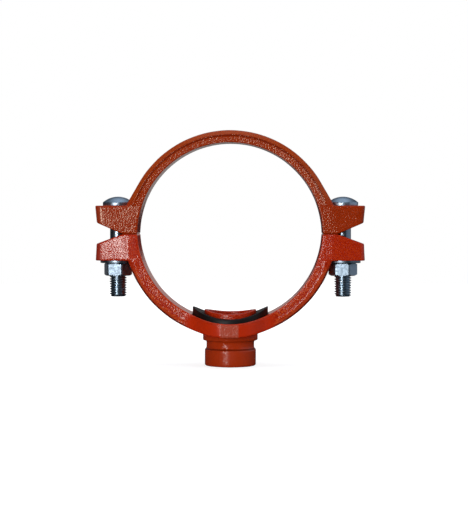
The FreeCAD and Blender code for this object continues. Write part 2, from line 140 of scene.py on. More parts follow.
def aroundAxis(radius, angle, height, x):
    # points about an upright axis: x + radius cos(angle), radius sin(angle), height
    parts = (x + radius * np.cos(angle), radius * np.sin(angle), height)
    return np.stack(np.broadcast_arrays(*parts), axis=-1)


def spreadRows(rows, angle):
    # (radius, height) pairs as whole rows of a grid; either may be one number or one for each direction
    radius = np.stack([np.broadcast_to(r, angle.shape) for r, z in rows])
    height = np.stack([np.broadcast_to(z, angle.shape) for r, z in rows])
    return radius, height


def roundedCorner(before, corner, after, radius, steps=4):
    # an arc in place of a profile's corner: with s from 0 to 1 and the angle that the arc turns through,
    # centre + (sin((1 - s) angle) x start + sin(s angle) x end) / sin(angle)
    before, corner, after = (np.array(p, float) for p in (before, corner, after))
    back = (before - corner) / np.linalg.norm(before - corner)
    ahead = (after - corner) / np.linalg.norm(after - corner)
    half = math.acos(np.clip(back @ ahead, -1, 1)) / 2
    centre = corner + (back + ahead) / np.linalg.norm(back + ahead) * radius / math.sin(half)
    start = corner + back * radius / math.tan(half) - centre
    end = corner + ahead * radius / math.tan(half) - centre
    turn = math.acos(np.clip(start @ end / radius**2, -1, 1))
    share = np.linspace(0, 1, steps + 1)[:, None]
    return centre + (np.sin((1 - share) * turn) * start + np.sin(share * turn) * end) / math.sin(turn)


def roundedProfile(corners):
    # corners are (radius, height, rounding); a rounding of 0 keeps the corner
    points = []
    for i, (r, z, rounding) in enumerate(corners):
        if rounding and 0 < i < len(corners) - 1:
            points.extend(roundedCorner(corners[i - 1][:2], (r, z), corners[i + 1][:2], rounding))
        else:
            points.append(np.array((r, z), float))
    return np.array(points)


# Shader helpers

def newMaterial(name):
    material = bpy.data.materials.new(name)
    material.use_nodes = True
    tree = material.node_tree
    return material, tree, tree.nodes["Principled BSDF"]


def setInputs(tree, node, inputs):
    # links what comes out of another node, and sets what is a plain value
    for key, value in inputs.items():
        if isinstance(value, bpy.types.NodeSocket):
            tree.links.new(value, node.inputs[key])
        else:
            node.inputs[key].default_value = value


def addNode(tree, kind, inputs=None, **settings):
    node = tree.nodes.new(kind)
    for key, value in settings.items():
        setattr(node, key, value)
    setInputs(tree, node, inputs or {})
    return node


def mathNode(tree, operation, *values):
    return addNode(tree, "ShaderNodeMath", dict(enumerate(values)), operation=operation).outputs[0]


def product(tree, *values):
    made = values[0]
    for value in values[1:]:
        made = mathNode(tree, "MULTIPLY", made, value)
    return made


def lengthNode(tree, vector):
    return addNode(tree, "ShaderNodeVectorMath", {0: vector}, operation="LENGTH").outputs["Value"]


def reachNode(tree, **parts):
    # length of the vector with these parts
    return lengthNode(tree, addNode(tree, "ShaderNodeCombineXYZ", parts).outputs[0])


def rampNode(tree, value, low, high, start=0.0, end=1.0):
    # goes smoothly from start to end while the value goes from low to high, and stays there past either
    inputs = {"Value": value, "From Min": low, "From Max": high, "To Min": start, "To Max": end}
    node = addNode(tree, "ShaderNodeMapRange", inputs, interpolation_type="SMOOTHSTEP")
    return node.outputs["Result"]


def maskNode(tree, value, places):
    # 0 up to the first place, in mm, and 1 from the second, on whichever side of the first that lies
    start, end = places
    return rampNode(tree, value, start * mm, end * mm)


def choose(tree, mask, base, value):
    # the base, replaced by the value where the mask is 1
    inputs = {"Value": mask, "To Min": base, "To Max": value}
    return addNode(tree, "ShaderNodeMapRange", inputs).outputs["Result"]


def mixColor(tree, share, first, second):
    node = addNode(tree, "ShaderNodeMix", data_type="RGBA")
    colours = [i for i, socket in enumerate(node.inputs) if socket.type == "RGBA"]
    setInputs(tree, node, {0: share, colours[0]: first, colours[1]: second})
    return [socket for socket in node.outputs if socket.type == "RGBA"][0]


def noiseNode(tree, place, scale, detail):
    inputs = {"Vector": place, "Scale": scale, "Detail": detail}
    return addNode(tree, "ShaderNodeTexNoise", inputs).outputs[0]


def newGroup(name, inputs, outputs):
    group = bpy.data.node_groups.new(name, "ShaderNodeTree")
    for label, kind, value in inputs:
        socket = group.interface.new_socket(label, in_out="INPUT", socket_type=kind)
        if value is not None:
            socket.default_value = value
    for label, kind in outputs:
        group.interface.new_socket(label, in_out="OUTPUT", socket_type=kind)
    return group, group.nodes.new("NodeGroupInput"), group.nodes.new("NodeGroupOutput")


# The skin's grain, shared by every material

grainPlan = {
    "fineDetail": 0.3,
    "coarseShare": 0.37,  # of the fine noise's scale
    "coarseDetail": 1.0,
    "slowScale": 28.0,  # waves to the metre
    "slowDetail": 2.0,
    "bumps": (0.30, 0.72),  # values of the fine noise at the foot and at the top of a bump
    "patches": (0.35, 0.65),  # values of the slow noise where the grain is thin and where it is full
}


def makeGrainGroup(plan):
    # pebbled skin: rounded bumps of fine noise on coarse noise, thinned in places by a slow wave, as
    # (bumps + Coarse x coarse noise) x (1 - Patches x (1 - slow wave))
    group, given, made = newGroup(
        "grainSkin",
        (
            ("Vector", "NodeSocketVector", None),
            ("Grain", "NodeSocketFloat", 1.2),
            ("Coarse", "NodeSocketFloat", 0.5),
            ("Patches", "NodeSocketFloat", 0.3),
        ),
        (("Height", "NodeSocketFloat"), ("Slow", "NodeSocketFloat"), ("Fine", "NodeSocketFloat")),
    )
    place = given.outputs["Vector"]
    scale = mathNode(group, "DIVIDE", 1 / mm, given.outputs["Grain"])
    coarseScale = mathNode(group, "MULTIPLY", scale, plan["coarseShare"])
    bumps = rampNode(group, noiseNode(group, place, scale, plan["fineDetail"]), *plan["bumps"])
    coarse = noiseNode(group, place, coarseScale, plan["coarseDetail"])
    slow = rampNode(group, noiseNode(group, place, plan["slowScale"], plan["slowDetail"]), *plan["patches"])
    both = mathNode(group, "ADD", bumps, mathNode(group, "MULTIPLY", coarse, given.outputs["Coarse"]))
    thin = mathNode(group, "MULTIPLY", mathNode(group, "SUBTRACT", 1.0, slow), given.outputs["Patches"])
    height = mathNode(group, "MULTIPLY", both, mathNode(group, "SUBTRACT", 1.0, thin))
    setInputs(group, made, {"Height": height, "Slow": slow, "Fine": bumps})
    return group


grainGroup = makeGrainGroup(grainPlan)


def grainIn(tree, look):
    place = addNode(tree, "ShaderNodeTexCoord").outputs["Object"]
    inputs = {"Vector": place, "Grain": look["grain"], "Coarse": look["coarse"], "Patches": look["patches"]}
    return addNode(tree, "ShaderNodeGroup", inputs, node_tree=grainGroup), place


# Areas of the castings, by place on them. Each limit is a measure and two places in mm: its mask goes
# smoothly from 0 at the first to 1 at the second, and an area is where all of its limits hold.

upperRing = (("height", 28, 36),)
lowerRing = (("aside", 36, 46), ("height", -28, -36))
areaPlan = {
    "ring": (("fromPipe", 102, 96),),
    "root": (("x", -83, -86), ("x", -96, -95), ("height", -26, -20)),  # of the left lug
    "bore": (("fromCentre", 86.9, 86.55),),
    "crown": (("fromCentre", 96.0, 97.0), ("fromCentre", 100.4, 99.6), ("along", 17.5, 16.0)),
    "tip": (("x", -120.5, -121.2),),  # of the left lug; the outlet's enamel paints shade on its end
    "saddle": (("aside", 46, 36), ("height", -60, -70), ("fromPipe", 83.5, 85.5)),
    "branch": (("height", -95.5, -97.5),),
    "groove": (("height", -95.5, -97.5), ("height", -108.5, -107.5)),  # with the shoulder above it
    "pad": (("aside", 8.8, 8.0), ("along", 19.0, 19.5), ("height", -96.5, -95.5), ("height", -83.2, -84.0)),
    "corner": (("height", -109.2, -108.3), ("height", -106.8, -107.7), ("fromBranch", 24.3, 23.8)),
    "edge": (*lowerRing, ("fromCentre", 97.0, 98.0), ("along", 14.0, 15.0)),
}
offCollar = (("fromBranch", 30, 32), ("height", -60, -50))  # beside it or over it
ridgePlan = {
    "face": ("along", 16.5, 17.5),
    "creaseShade": ((-1.3, -0.2), (1.3, 0.3)),  # mm from the crease's middle, on its inner and outer side, where its shade is painted
    "bandFade": 1.0,  # mm
    "glintPeaks": (0.5, 1.0),  # values of the grain's bumps where their painted glints start and where they are full
}


def measures(tree, place, centre):
    # where a point of a casting is: height, x, and its distances from the two middle planes, from the axes
    # of the run pipe and the branch, and from the axis of its own half bore, whose height is the centre
    x, y, height = addNode(tree, "ShaderNodeSeparateXYZ", {0: place}).outputs
    return {
        "height": height,
        "x": x,
        "aside": mathNode(tree, "ABSOLUTE", x),
        "along": mathNode(tree, "ABSOLUTE", y),
        "fromPipe": reachNode(tree, X=x, Z=height),
        "fromBranch": reachNode(tree, X=x, Y=y),
        "fromCentre": reachNode(tree, X=x, Z=mathNode(tree, "SUBTRACT", height, centre * mm)),
    }


def areaMask(tree, at, limits):
    return product(tree, *(maskNode(tree, at[measure], places) for measure, *places in limits))


def boreMask(tree, at):
    # the smooth bore, without the collar that stands up in it
    beside, over = (areaMask(tree, at, (limit,)) for limit in offCollar)
    return product(tree, areaMask(tree, at, areaPlan["bore"]), mathNode(tree, "MAXIMUM", beside, over))


def ridgeMasks(tree, at, look, plan):
    # over the ring's front and back: the crease at the foot of its ridge, where its shade is painted, and
    # the band outside it, where light is painted
    face = (*look["ringPart"], plan["face"])
    foot = look["creaseAt"]
    sides = (("fromCentre", foot + start, foot + end) for start, end in plan["creaseShade"])
    outside = ("fromCentre", look["bandStart"], look["bandStart"] + plan["bandFade"])
    return areaMask(tree, at, (*face, *sides)), areaMask(tree, at, (*face, outside))


def leaningFace(tree, lean, fromCentre):
    # height of a face that leans outward, more with the distance t from the bore, by slopes near and far:
    # lift - near t - (far - near) t t / (2 width). The lift makes it 0 halfway, so that the fading edge of
    # the ring's mask adds little slope of its own
    near, far = (math.tan(math.radians(angle)) for angle in lean["degrees"])
    width = lean["width"] * mm
    t = mathNode(tree, "MINIMUM", mathNode(tree, "SUBTRACT", fromCentre, lean["from"] * mm), width)
    slope = mathNode(tree, "MULTIPLY_ADD", t, (near - far) / (2 * width), -near)
    return mathNode(tree, "MULTIPLY_ADD", t, slope, lean["lift"] * mm)


# Enamel. Depths are those of the grain, in mm. A later area covers an earlier one, and where an area gives
# nothing of its own, the lugs' colour, depth and roughness hold.

enamelLook = {
    "grain": 1.15,  # mm from bump to bump
    "coarse": 0.8,
    "patches": 0.4,
}
sharedFinish = {
    "bore": {"depth": 0.008, "roughness": 0.10},
    "crown": {"depth": 0.03, "roughness": 0.45},
    "tip": {"depth": 0.02, "roughness": 0.6},
}
strapEnamel = {
    **enamelLook,
    "boreCentre": boreCentre["strap"],
    "ringPart": upperRing,
    "colour": (0.335, 0.026, 0.0012, 1),
    "hollow": (0.27, 0.020, 0.0010, 1),
    "peakGlint": (0.36, 0.046, 0.0050, 1),  # painted glints on the tops of the ring's grain
    "creaseShade": (0.18, 0.012, 0.0006, 1),  # painted shade in the crease at the foot of the moulding ridge
    "creaseAt": 93.1,  # mm from the middle of the bore
    "litBand": (0.310, 0.037, 0.0035, 1),  # painted light: more orange from the ridge out, on the outward-leaning slope
    "bandStart": 93.7,  # mm from the middle of the bore
    "depth": 0.066,
    "roughness": 0.16,
    "shine": 0.5,
    "shineTint": (1.0, 0.85, 0.66, 1),
    "areas": {
        "ring": {"depth": 0.135, "roughness": 0.19},
        **sharedFinish,
    },
}
outletEnamel = {
    **enamelLook,
    "boreCentre": boreCentre["outlet"],
    "ringPart": lowerRing,
    "colour": (0.49, 0.032, 0.0028, 1),
    "hollow": (0.37, 0.0125, 0.0010, 1),
    # painted glints on the tops of the ring's grain
    "peakGlint": (0.62, 0.085, 0.0150, 1),
    # painted shade in the crease at the foot of the moulding ridge
    "creaseShade": (0.40, 0.018, 0.0012, 1),
    "creaseAt": 92.7,  # mm
    # painted light: more orange and a little lighter from the ridge out, on the outward-leaning slope
    "litBand": (0.50, 0.040, 0.0080, 1),
    "bandStart": 94.6,  # mm
    "depth": 0.076,
    "roughness": 0.15,
    "shine": 0.55,
    "shineTint": (1.0, 0.96, 0.92, 1),
    "lean": {  # the ring's face is shaded as if it leant outward
        "degrees": (1.5, 7.0),  # at the bore and at the ridge
        "from": 86.5,  # mm from the middle of the bore
        "width": 8.0,  # mm
        "lift": 0.2,  # mm
    },
    "areas": {
        "ring": {"depth": 0.145, "roughness": 0.20},
        "root": {"depth": 0.028, "roughness": 0.14},
        "bore": {**sharedFinish["bore"], "colour": (0.58, 0.036, 0.0020, 1)},
        "crown": sharedFinish["crown"],
        # painted shade on the end of the left lug
        "tip": {**sharedFinish["tip"], "colour": (0.31, 0.015, 0.0012, 1)},
        "saddle": {"depth": 0.045, "colour": (0.535, 0.025, 0.0014, 1)},
        "branch": {"depth": 0.060, "roughness": 0.21, "colour": (0.46, 0.036, 0.0040, 1)},
        "groove": {"depth": 0.100, "roughness": 0.14},
        "pad": {"depth": 0.240, "roughness": 0.29, "colour": (0.44, 0.055, 0.0220, 1)},
        "corner": {"colour": (0.20, 0.016, 0.0020, 1)},  # painted shade along the foot of the coupling groove's walls
        "edge": {"colour": (0.16, 0.008, 0.0010, 1)},  # painted shade along the ring's outer edges
    },
}


def makeEnamel(name, look):
    # the colours of the grain, the ring's painted glints, painted light on its band and painted shade in
    # its crease first, then the finish of one area after another, some with painted shade
    material, tree, shader = newMaterial(name)
    grain, place = grainIn(tree, look)
    bumps = grain.outputs["Fine"]
    at = measures(tree, place, look["boreCentre"])
    ringPart = areaMask(tree, at, look["ringPart"])
    creaseShade, litBand = ridgeMasks(tree, at, look, ridgePlan)
    onTops = rampNode(tree, bumps, *ridgePlan["glintPeaks"])
    glintPeaks = product(tree, ringPart, areaMask(tree, at, areaPlan["ring"]), onTops)
    colour = mixColor(tree, bumps, look["hollow"], look["colour"])
    colour = mixColor(tree, litBand, colour, look["litBand"])
    colour = mixColor(tree, glintPeaks, colour, look["peakGlint"])
    colour = mixColor(tree, creaseShade, colour, look["creaseShade"])
    depth = look["depth"] * mm
    roughness = look["roughness"]
    for area, finish in look["areas"].items():
        mask = boreMask(tree, at) if area == "bore" else areaMask(tree, at, areaPlan[area])
        if "colour" in finish:
            colour = mixColor(tree, mask, colour, finish["colour"])
        if "depth" in finish:
            depth = choose(tree, mask, depth, finish["depth"] * mm)
        if "roughness" in finish:
            roughness = choose(tree, mask, roughness, finish["roughness"])
    bump = addNode(tree, "ShaderNodeBump", {"Height": grain.outputs["Height"], "Distance": depth})
    if "lean" in look:
        fall = product(tree, leaningFace(tree, look["lean"], at["fromCentre"]), ringPart)
        tilt = addNode(tree, "ShaderNodeBump", {"Height": fall, "Distance": 1.0})
        setInputs(tree, bump, {"Normal": tilt.outputs["Normal"]})
    setInputs(tree, shader, {
        "Base Color": colour,
        "Roughness": roughness,
        "Normal": bump.outputs["Normal"],
        "Specular IOR Level": look["shine"],
        "Specular Tint": look["shineTint"],
    })
    return material


# Zinc plate and rubber

zincLook = {
    "colour": (0.56, 0.69, 0.82, 1),
    "dull": (0.46, 0.58, 0.70, 1),
    "rootShade": (0.32, 0.40, 0.46, 1),  # painted shade deep in the threads
    "shank": (0.38, 0.47, 0.56, 1),  # painted shade between the lugs
    "roughness": (0.34, 0.40),  # in the hollows of the grain and on its bumps
    "shankShare": 0.80,  # of that roughness, between the lugs
    "threadShare": 0.86,  # of that roughness, on the threads
    "grain": 2.4,  # mm from bump to bump
    "coarse": 0.3,
    "patches": 0.3,
    "rootRadius": (7.1, 6.5),  # mm from the bolt's axis, where the painted shade starts and where it is full
    "threadTop": (-26, -27),  # mm, heights between which the painted shade fades in
    "shankFoot": (-27, -25),  # the same for the shank's painted shade and roughness
    "headFoot": (10, 18),  # and for the head's
}


def threadRoots(tree, place, look):
    # the mask of the threads' painted shade: 1 deep in the threads of either bolt, 0 on their crests and
    # everywhere else
    x, y, height = addNode(tree, "ShaderNodeSeparateXYZ", {0: place}).outputs
    aside = mathNode(tree, "SUBTRACT", mathNode(tree, "ABSOLUTE", x), boltCentre * mm)
    deep = maskNode(tree, reachNode(tree, X=aside, Y=y), look["rootRadius"])
    return product(tree, deep, maskNode(tree, height, look["threadTop"]))


def makeZinc(name, look):
    material, tree, shader = newMaterial(name)
    grain, place = grainIn(tree, look)
    height = addNode(tree, "ShaderNodeSeparateXYZ", {0: place}).outputs["Z"]
    onShank = maskNode(tree, height, look["shankFoot"])
    onHead = maskNode(tree, height, look["headFoot"])
    colour = mixColor(tree, grain.outputs["Slow"], look["dull"], look["colour"])
    colour = mixColor(tree, threadRoots(tree, place, look), colour, look["rootShade"])
    colour = mixColor(tree, mathNode(tree, "SUBTRACT", onShank, onHead), colour, look["shank"])
    share = choose(tree, onShank, look["threadShare"], look["shankShare"])
    share = choose(tree, onHead, share, 1.0)
    rough = rampNode(tree, grain.outputs["Fine"], 0.0, 1.0, *look["roughness"])
    setInputs(tree, shader, {
        "Base Color": colour,
        "Metallic": 1.0,
        "Roughness": product(tree, rough, share),
    })
    return material


rubberLook = {
    "colour": (0.005, 0.004, 0.0035, 1),
    "bloom": (0.010, 0.009, 0.008, 1),
    "shine": 0.3,
    "roughness": (0.42, 0.50),
    "grain": 1.5,  # mm from bump to bump
    "coarse": 0.4,
    "patches": 0.3,
    "depth": 0.01,  # mm
}


def makeRubber(name, look):
    material, tree, shader = newMaterial(name)
    grain = grainIn(tree, look)[0]
    depth = look["depth"] * mm
    bump = addNode(tree, "ShaderNodeBump", {"Height": grain.outputs["Height"], "Distance": depth})
    setInputs(tree, shader, {
        "Base Color": mixColor(tree, grain.outputs["Slow"], look["colour"], look["bloom"]),
        "Roughness": rampNode(tree, grain.outputs["Fine"], 0.0, 1.0, *look["roughness"]),
        "Normal": bump.outputs["Normal"],
        "Specular IOR Level": look["shine"],
    })
    return material


redStrap = makeEnamel("redStrap", strapEnamel)
redOutlet = makeEnamel("redOutlet", outletEnamel)
zinc = makeZinc("zincPlate", zincLook)
satinLook = {**zincLook, "roughness": (0.37, 0.49), "threadShare": 1.0}
# painted shadow: the washers' plate is darker, for the shadow of the lugs over them
shadedWasherLook = {**satinLook, "colour": (0.34, 0.42, 0.50, 1), "dull": (0.24, 0.30, 0.36, 1)}
satinZinc = makeZinc("satinZincPlate", satinLook)
shadedWasherZinc = makeZinc("shadedWasherZincPlate", shadedWasherLook)
rubber = makeRubber("gasketRubber", rubberLook)
print("materials made")


# The two castings, with their edges softened as a sand mould leaves them

castingPlan = {
    "merge": 0.001,  # mm
    "softening": 3,  # rounds
    "wave": 0.10,  # mm, how far the faces stray from true
    "waveLength": 23.0,  # mm
    "waveWays": ((1.0, 0.6, 0.3), (-0.5, 1.1, 0.8), (0.3, -0.7, 1.2)),  # waves in that length: x, y, z
    "relief": {"back": 0.35, "depth": 3.0, "height": 1.6, "halfWidth": 20.6},  # mm, of the parting face
    "ridgeFace": (15.0, 17.5),  # mm from the middle plane, where the ridge's shift starts and is full
}
strapPlan = {
    **castingPlan,
    "voxel": 0.70,  # mm
    "side": 1,  # above the parting plane, and -1 is below it
    "boreCentre": boreCentre["strap"],
    "ridge": (85.0, 91.9, 97.8),  # mm from the middle of the bore, of bore, ridge and crown
    "ridgeShift": 1.3,  # mm outward
    "ridgeFrom": (28, 36),  # mm over the middle of the bore, where the shift starts and is full
}
outletPlan = {
    **castingPlan,
    "voxel": 0.85,
    "side": -1,
    "boreCentre": boreCentre["outlet"],
    "ridge": (85.0, 93.3, 99.0),
    "ridgeShift": 0.8,
    "ridgeFrom": (-30, -38),
    "ridgeAside": (36, 46),
}


def readPoints(mesh, kind="co"):
    values = np.zeros(len(mesh.vertices) * 3, np.float32)
    mesh.vertices.foreach_get(kind, values)
    return values.reshape(-1, 3)


def writePoints(mesh, points):
    mesh.vertices.foreach_set("co", points.astype(np.float32).ravel())
    mesh.update()


def softCasting(node, plan):
    # a copy of the solid with an even skin of small squares, whose points are drawn to their neighbours
    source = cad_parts[node].data.copy()
    source.materials.clear()
    tidyMesh(source, plan["merge"] * mm)
    holder = newObject(node + "Work", source)
    remesh = holder.modifiers.new("skin", "REMESH")
    remesh.mode = "VOXEL"
    remesh.voxel_size = plan["voxel"] * mm
    soften = holder.modifiers.new("edges", "SMOOTH")
    soften.iterations = plan["softening"]
    done = holder.evaluated_get(bpy.context.evaluated_depsgraph_get())
    mesh = bpy.data.meshes.new_from_object(done)
    bpy.data.objects.remove(holder)
    bpy.data.meshes.remove(source)
    waveMesh(mesh, plan["wave"] * mm, plan["waveLength"] * mm, plan["waveWays"])
    relieveParting(mesh, plan["side"], plan["relief"])
    shiftRidge(mesh, plan)
    mesh.shade_smooth()
    return mesh


def waveMesh(mesh, size, length, ways):
    # draws each point in along its normal by size / 2 x (1 + the mean of three slow sines of its place),
    # whose waves cross at odd angles
    points = readPoints(mesh)
    phases = [points @ np.array(way, np.float32) * (fullTurn / length) + i for i, way in enumerate(ways)]
    inward = (1 + sum(np.sin(phase) for phase in phases) / len(ways)) * size / 2
    writePoints(mesh, points - readPoints(mesh, "normal") * inward[:, None])


def relieveParting(mesh, side, relief):
    # moves the parting face away from the other casting by back x outward x near: outward grows from 0 to 1
    # over the last part of the half width, and near falls from 1 to 0 away from the parting plane
    size = {name: value * mm for name, value in relief.items()}
    points = readPoints(mesh)
    outward = (np.abs(points[:, 1]) - size["halfWidth"] + size["depth"]) / size["depth"]
    near = 1 - np.abs(points[:, 2]) / size["height"]
    points[:, 2] += side * size["back"] * np.clip(outward, 0, 1) * np.clip(near, 0, 1)
    writePoints(mesh, points)


def easeIn(value, start, end):
    # 0 up to the start and 1 past the end, with a smooth S between them: 3 t squared less 2 t cubed
    share = np.clip((value - start) / (end - start), 0, 1)
    return share * share * (3 - 2 * share)


def shiftRidge(mesh, plan):
    # moves points away from the bore's axis by shift x hump x apart: hump is 1 at the moulding ridge and 0
    # at bore and crown, and apart is 1 on the ring's front and back and 0 towards the lugs and the saddle
    bore, ridge, crown = plan["ridge"]
    points = readPoints(mesh) / mm
    x, y, z = points.T
    z = z - plan["boreCentre"]
    radius = np.hypot(x, z)
    hump = np.minimum(easeIn(radius, bore, ridge), easeIn(radius, crown, ridge))
    apart = easeIn(z, *plan["ridgeFrom"]) * easeIn(np.abs(y), *plan["ridgeFace"])
    if "ridgeAside" in plan:
        apart *= easeIn(np.abs(x), *plan["ridgeAside"])
    share = plan["ridgeShift"] * hump * apart / np.maximum(radius, 1)
    points[:, 0] += x * share
    points[:, 2] += z * share
    writePoints(mesh, points * mm)


strap = softCasting("upper_housing", strapPlan)
addPiece("strapCasting", strap, redStrap, "strap_side", "enamel", "upper_housing")
outlet = softCasting("outlet_housing", outletPlan)
addPiece("outletCasting", outlet, redOutlet, "outlet_side", "enamel", "outlet_housing")


# Threads, shared by bolts and nuts

threadPlan = {
    "pitch": 25.4 / 11,  # mm
    "depth": 1.35,  # mm
    "crest": 0.24,  # flat of the crest, as a share of the pitch
    "root": 0.24,  # flat of the root, the same
    "columns": 96,
    "spareTurns": 2,  # turns of rows past either end, which are held to that end
}


def threadDip(height, angle, plan):
    # how far a right-hand thread is below its crest at a height in mm and an angle, a trapezium in height:
    # depth x (1 - (distance from the root's middle - half the root) / flank), held between 0 and the depth
    phase = (height / plan["pitch"] - angle / fullTurn) % 1.0
    away = np.abs(phase - 0.5)  # 0.5 in the middle of the crest, 0 in the middle of the root
    flank = 0.5 - (plan["crest"] + plan["root"]) / 2
    return plan["depth"] * np.clip(1 - (away - plan["root"] / 2) / flank, 0, 1)


def threadHeights(bottom, top, angle, plan):
    # rows that follow the corners of the profile and climb one pitch a turn, held between two levels:
    # (number of the turn + share of the corner) x pitch + pitch x angle / full turn
    crest = plan["crest"] / 2
    root = plan["root"] / 2
    shares = np.array((crest, 0.5 - root, 0.5 + root, 1 - crest))
    first = math.floor(bottom / plan["pitch"]) - plan["spareTurns"]
    turns = int((top - bottom) / plan["pitch"]) + 2 * plan["spareTurns"] + 1
    levels = (first + np.arange(turns)[:, None] + shares).ravel() * plan["pitch"]
    rows = levels[:, None] + plan["pitch"] * angle / fullTurn
    return np.clip(rows, bottom, top)


# Lengths of bolts, nuts and gasket are in mm

boltPlan = {
    "headRadius": 14.3,
    "headRim": 3.0,
    "headHeight": 8.4,
    "domeRows": 21,
    "rimRounding": 0.9,
    "footRounding": 0.35,
    "footWidth": 2.5,  # of the head's flat underside
    "neckLength": 22.0,
    "neckHeight": 9.0,
    "neckBevel": 0.4,
    "shankRadius": 7.55,
    "shankGap": 0.5,  # between the last row of the shank and the thread
    "threadRadius": 7.94,
    "threadLength": 44.0,  # with its run-out
    "runOut": 3.0,
    "crestLead": 1.5,  # the crest reaches its full radius this many times sooner than the thread its depth
    "length": 85.5,
    "point": 1.4,
    "sharp": 28,  # degrees
}


def ovalRadius(angle, length, radius):
    # distance from the middle of a round-ended slot to its edge: the radius over the sine on its straight
    # sides, and elsewhere the farther crossing of the line with the circle round the slot's end
    shift = length / 2 - radius
    across = np.abs(np.cos(angle)) * shift
    cap = across + np.sqrt(np.maximum(radius**2 - (np.sin(angle) * shift) ** 2, 0))
    side = radius / np.maximum(np.abs(np.sin(angle)), 1e-9)  # never divided by 0
    onSide = side * np.abs(np.cos(angle)) < shift
    return np.where(onSide, side, cap)


def boltMesh(name, x, seat, plan):
    # rows of radius over height for every direction: a dome cut from a sphere, rim, oval neck, shank, the
    # thread as its crest's radius less its dip, or the cone of the point where that is less, and the end
    angle = np.linspace(0, fullTurn, threadPlan["columns"] + 1)
    rise = plan["headHeight"] - plan["headRim"]
    dome = (plan["headRadius"] ** 2 + rise**2) / (2 * rise)
    tilt = np.linspace(0, math.asin(plan["headRadius"] / dome), plan["domeRows"] + 1)[:-1]
    crown = np.stack((dome * np.sin(tilt), plan["headHeight"] - dome * (1 - np.cos(tilt))), axis=-1)
    rim = roundedProfile((
        (*crown[-1], 0),
        (plan["headRadius"], plan["headRim"], plan["rimRounding"]),
        (plan["headRadius"], 0, plan["footRounding"]),
        (plan["headRadius"] - plan["footWidth"], 0, 0),
    ))
    oval = ovalRadius(angle, plan["neckLength"], plan["threadRadius"])
    neckEnd = -plan["neckHeight"]
    threadTop = plan["threadLength"] - plan["length"]
    upper, upperLevels = spreadRows([
        *crown,
        *rim[1:],
        (oval, 0),
        (oval, neckEnd + plan["neckBevel"]),
        (oval - plan["neckBevel"], neckEnd),
        (plan["shankRadius"], neckEnd),
        (plan["shankRadius"], threadTop + plan["shankGap"]),
    ], angle)
    helix = threadHeights(seat - plan["length"], seat + threadTop, angle, threadPlan)[::-1]
    dip = threadDip(helix, angle, threadPlan)
    levels = helix - seat
    cut = np.clip((threadTop - levels) / plan["runOut"], 0, 1)  # the thread runs out into the shank
    grown = np.clip(cut * plan["crestLead"], 0, 1)
    crest = plan["shankRadius"] + (plan["threadRadius"] - plan["shankRadius"]) * grown
    cone = plan["threadRadius"] - plan["point"] + (levels + plan["length"])
    end, endLevel = spreadRows([(0.0, -plan["length"])], angle)
    radius = np.concatenate((upper, np.minimum(crest - dip * cut, cone), end))
    height = np.concatenate((upperLevels, levels, endLevel))
    mesh = meshFromGrid(name, aroundAxis(radius * mm, angle, (height + seat) * mm, x * mm))
    mesh.set_sharp_from_angle(angle=math.radians(plan["sharp"]))
    return mesh


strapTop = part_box("left_bolt")[1].z / mm - boltPlan["headHeight"]
for side, hand in hands.items():
    mesh = boltMesh(side + "TrackBolt", boltCentre * hand, strapTop, boltPlan)
    addPiece(side + "TrackBolt", mesh, zinc, "strap_side", "zinc", side + "_bolt")


nutPlan = {
    "flats": 24.0,
    "face": 22.6,  # across the round faces
    "chamfer": 30.0,  # degrees
    "countersink": 1.2,
    "clearance": 0.08,
    "cornerRound": 0.35,
    "columns": 20,  # to a side
    "cornerColumn": 28.5,  # degrees from the middle of a side, one more column at either end of it
    "edgeRow": 0.3,  # between the edges of the faces and chamfers and a row that keeps them crisp
    "sharp": 24,  # degrees
    "turns": {"left": 11.5, "right": 5.5},  # degrees from square
}


def nutMesh(name, x, bottom, top, turn, plan):
    # for every direction, a closed loop of rows: bottom, chamfer, flat, chamfer, top, threaded bore. A side
    # spans 60 degrees, and its distance is half of the flats over the cosine of the angle from its middle,
    # up to the rounded corner
    side = np.linspace(-30, 30, plan["columns"] + 1)
    side = np.unique(np.append(side, (-plan["cornerColumn"], plan["cornerColumn"])))[:-1]
    degrees = np.append(side + 60 * np.arange(6)[:, None], 330)
    phase = (degrees + 30) % 60 - 30
    corner = plan["flats"] / math.sqrt(3) - plan["cornerRound"]
    hexagon = np.minimum(plan["flats"] / 2 / np.cos(np.radians(phase)), corner)
    face = plan["face"] / 2
    chamfer = np.maximum(hexagon - face, 0) * math.tan(math.radians(plan["chamfer"]))
    bore = boltPlan["threadRadius"] + plan["clearance"]
    mouth = bore + plan["countersink"]
    edge = plan["edgeRow"]
    angle = np.radians(degrees - 30 - turn)
    radius, height = spreadRows([
        (mouth, bottom),
        (face - edge, bottom),
        (np.minimum(face, hexagon), bottom),
        (hexagon, bottom + chamfer),
        (hexagon, bottom + chamfer + edge),
        (hexagon, top - chamfer - edge),
        (hexagon, top - chamfer),
        (np.minimum(face, hexagon), top),
        (face - edge, top),
        (mouth, top),
    ], angle)
    helix = threadHeights(bottom, top, angle, threadPlan)[::-1]
    dip = threadDip(helix, angle, threadPlan)
    countersink = mouth - np.minimum(helix - bottom, top - helix)
    radius = np.concatenate((radius, np.maximum(bore - dip, countersink), radius[:1]))
    height = np.concatenate((height, helix, height[:1]))
    mesh = meshFromGrid(name, aroundAxis(radius * mm, angle, height * mm, x * mm))
    mesh.set_sharp_from_angle(angle=math.radians(plan["sharp"]))
    return mesh


for side, hand in hands.items():
    low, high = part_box(side + "_nut")
    turn = nutPlan["turns"][side]
    mesh = nutMesh(side + "HexNut", boltCentre * hand, low.z / mm, high.z / mm, turn, nutPlan)
    addPiece(side + "HexNut", mesh, satinZinc, side + "_nut", "zinc", side + "_nut")


